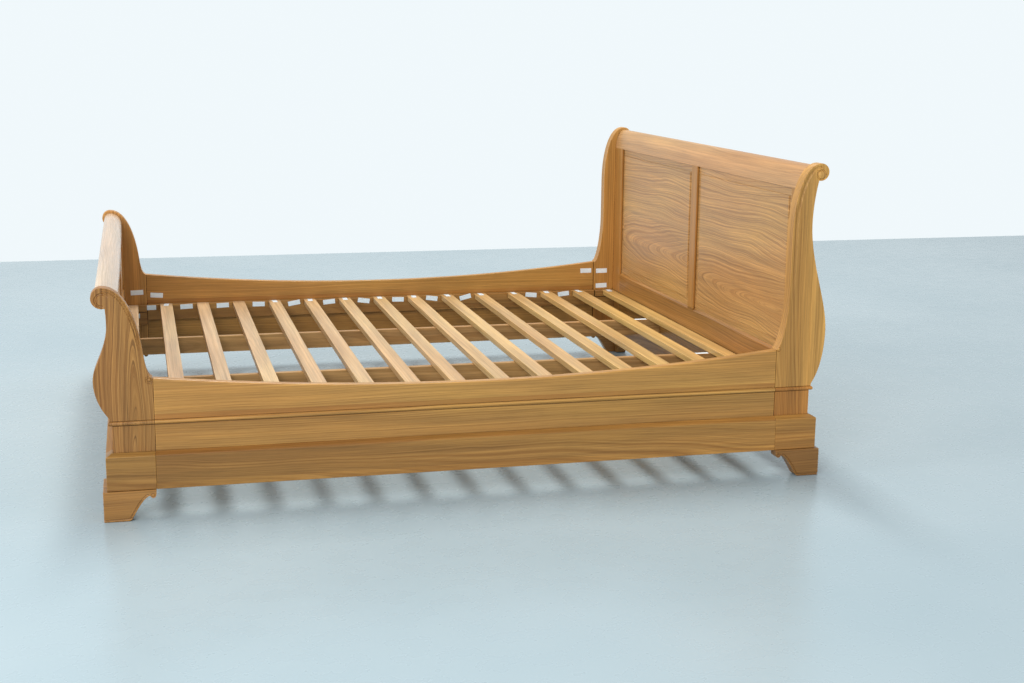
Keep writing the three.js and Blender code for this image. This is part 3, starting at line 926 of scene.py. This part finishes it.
def add_ends():
    foot_form = make_foot()
    for end_name in ENDS:
        add_end(end_name, foot_form)
    bpy.data.objects.remove(foot_form)


def add_sides():
    rail_form = make_side_rail()
    for side_name in SIDES:
        add_side(side_name, rail_form)
    bpy.data.objects.remove(rail_form)


def add_slats():
    for node in SLATS:
        from_node(node, 1.6 * MM, node, node)


# ---- blank paper stickers ----

STICKER_LENGTH = 48 * MM
STICKER_WIDTH = 19 * MM
STICKER_THICKNESS = 0.25 * MM
STICKER_LIFT = 0.06 * MM
STICKER_COLUMNS = 8
INWARD = Vector((0, -1, 0))
UPWARD = Vector((0, 0, 1))


def sticker(name, centre, facing, turn=0.0, body="frame", bow=0.0):
    """A thin curl of paper. facing is the way its face looks, and turn is in degrees about that."""
    if facing.y:
        across, up = Vector((1, 0, 0)), Vector((0, 0, 1))
    else:
        across, up = Vector((0, 1, 0)), Vector((1, 0, 0))
    a = math.radians(turn)
    across, up = across * math.cos(a) + up * math.sin(a), up * math.cos(a) - across * math.sin(a)
    bm = bmesh.new()
    layers = []
    for lift in (STICKER_LIFT, STICKER_LIFT + STICKER_THICKNESS):
        rows = []
        for u in np.linspace(-1, 1, STICKER_COLUMNS + 1):
            peel = bow * max(0.0, abs(u) - 0.6) ** 2
            along = centre + across * (u * STICKER_LENGTH / 2)
            rows.append([bm.verts.new(along + up * (v * STICKER_WIDTH / 2) + facing * (lift + peel))
                         for v in (-1, 1)])
        layers.append(rows)
    under, over = layers
    for i in range(STICKER_COLUMNS):
        bm.faces.new((over[i][0], over[i + 1][0], over[i + 1][1], over[i][1]))
        bm.faces.new((under[i][0], under[i][1], under[i + 1][1], under[i + 1][0]))
        for v in (0, 1):
            bm.faces.new((under[i][v], under[i + 1][v], over[i + 1][v], over[i][v]))
    for i in (0, STICKER_COLUMNS):
        bm.faces.new((under[i][0], under[i][1], over[i][1], over[i][0]))
    piece = new_object(name, bm)
    smooth(piece, 30)
    show(piece, "paper", body)


# The gap between slats that each ledger sticker is at, and its turn in degrees.
LEDGER_STICKERS = {0: 0, 1: 2, 2: 2, 3: -1, 4: 10, 5: 5, 6: -8, 7: -2, 8: -8, 9: 14, 11: -5, 12: 7}
MIDDLE_GAP = 6.45  # the bed's middle, counted in gaps
BARE_SLATS = (1, 3, 4)


def add_stickers():
    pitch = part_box("slat_09")[0].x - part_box("slat_08")[0].x
    for gap, turn in LEDGER_STICKERS.items():
        middle = Vector(((gap - MIDDLE_GAP) * pitch, LEDGER_IN_Y, SLAT_TOP_Z - 11 * MM))
        sticker(f"ledger_sticker_{gap + 1:02d}", middle, INWARD, turn, bow=2 * MM)
    for i, node in enumerate(SLATS, 1):
        if i not in BARE_SLATS:
            low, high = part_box(node)
            middle = Vector(((low.x + high.x) / 2, high.y - 32 * MM, high.z))
            sticker(f"{node}_sticker", middle, UPWARD, random.uniform(-6, 6), node, bow=2 * MM)
    block_in_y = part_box("foot_right_slat_block")[0].y
    places = {  # x and z in mm, the face's y, and the turn in degrees
        "foot_post_sticker": (-956, 325, POST_IN_Y, 2),
        "foot_post_low_sticker": (-972, 236, block_in_y, 0),
        "foot_rail_sticker": (-881, 310, RAIL_IN_Y, -4),
        "head_rail_sticker": (886, 357, RAIL_IN_Y, 0),
        "head_post_sticker": (951, 357, POST_IN_Y, 0),
        "head_post_low_sticker": (951, 294, POST_IN_Y, 2),
    }
    for name, (x, z, y, turn) in places.items():
        sticker(name, Vector((x * MM, y, z * MM)), INWARD, turn, bow=1 * MM)
    for side_name in SIDES:
        low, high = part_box(f"{side_name}_beam")
        middle = Vector((925 * MM, (low.y + high.y) / 2, high.z))
        sticker(f"{side_name}_beam_sticker", middle, UPWARD, 90)


# ---- floor, light and camera ----

FLOOR_X = (-9, 9)
FLOOR_Y = (-9, 4.1)  # its far edge is where the wall would stand
CAMERA_PLACE = (-0.942, -4.969, 1.305)
CAMERA_HEADING = -14.383  # degrees, to the right of straight across the bed
CAMERA_DIP = 11.547
CAMERA_ROLL = 0.55
LENS = 51.7  # mm, on a 36 mm sensor


def add_floor():
    t = Tree("floor_paint")
    patch = t.noise(t.place, 0.9, 3.0)
    speck = t.noise(t.place, 14.0, 3.0)
    tone = t.ramp(patch, (0.3, (0.345, 0.443, 0.487)), (0.7, (0.397, 0.490, 0.530)))
    t.put(t.inputs["Base Color"], tone)
    t.put(t.inputs["Roughness"], t.math("MULTIPLY_ADD", speck, 0.16, 0.20))
    bm = bmesh.new()
    bm.faces.new([bm.verts.new((x, y, 0)) for x, y in rectangle(FLOOR_X, FLOOR_Y)])
    obj = new_object("floor", bm)
    obj.data.materials.append(t.material)


def area_light(name, place, target, size, power, colour, length=None):
    data = bpy.data.lights.new(name, "AREA")
    data.shape = "RECTANGLE" if length else "DISK"
    data.size = size
    data.size_y = length or size
    data.energy = power
    data.color = colour
    obj = link_new(name, data)
    obj.location = place
    obj.rotation_euler = (Vector(target) - Vector(place)).to_track_quat("-Z", "Y").to_euler()


def add_world():
    """Bright walls around the room, and a dimmer ceiling that leaves the lamps to throw shadows."""
    w = bpy.data.worlds.new("studio")
    w.use_nodes = True
    nodes, links = w.node_tree.nodes, w.node_tree.links
    way = nodes.new("ShaderNodeTexCoord")
    parts = nodes.new("ShaderNodeSeparateXYZ")
    ramp = nodes.new("ShaderNodeValToRGB")
    links.new(way.outputs["Generated"], parts.inputs[0])
    links.new(parts.outputs["Z"], ramp.inputs[0])
    wall, ceiling = ramp.color_ramp.elements
    wall.position, wall.color = 0.10, (0.875, 0.94, 0.97, 1)
    ceiling.position, ceiling.color = 0.60, (0.50, 0.53, 0.55, 1)
    links.new(ramp.outputs[0], nodes["Background"].inputs["Color"])
    bpy.context.scene.world = w


def add_camera():
    data = bpy.data.cameras.new("camera")
    data.sensor_width = 36
    data.lens = LENS
    obj = link_new("camera", data)
    turn = Matrix.Rotation(math.radians(CAMERA_HEADING), 4, "Z")
    tilt = Matrix.Rotation(math.radians(90 - CAMERA_DIP), 4, "X")
    roll = Matrix.Rotation(math.radians(CAMERA_ROLL), 4, "Z")
    obj.matrix_world = Matrix.Translation(CAMERA_PLACE) @ turn @ tilt @ roll
    bpy.context.scene.camera = obj


add_ends()
add_sides()
add_slats()
add_stickers()

bpy.context.scene.view_settings.view_transform = "Standard"
add_floor()
add_world()
area_light("tube", (0.4, 3.0, 9.0), (0.1, 0, 0.3), 1.3, 600, (1.0, 0.98, 0.95), length=7)
area_light("fill", (-2.6, -5.2, 3.2), (0, 0, 0.3), 3.0, 170, (1.0, 0.98, 0.96))
area_light("window", (-5.0, -1.0, 2.2), (0.6, 0, 0.5), 2.2, 90, (0.98, 0.99, 1.0))
add_camera()
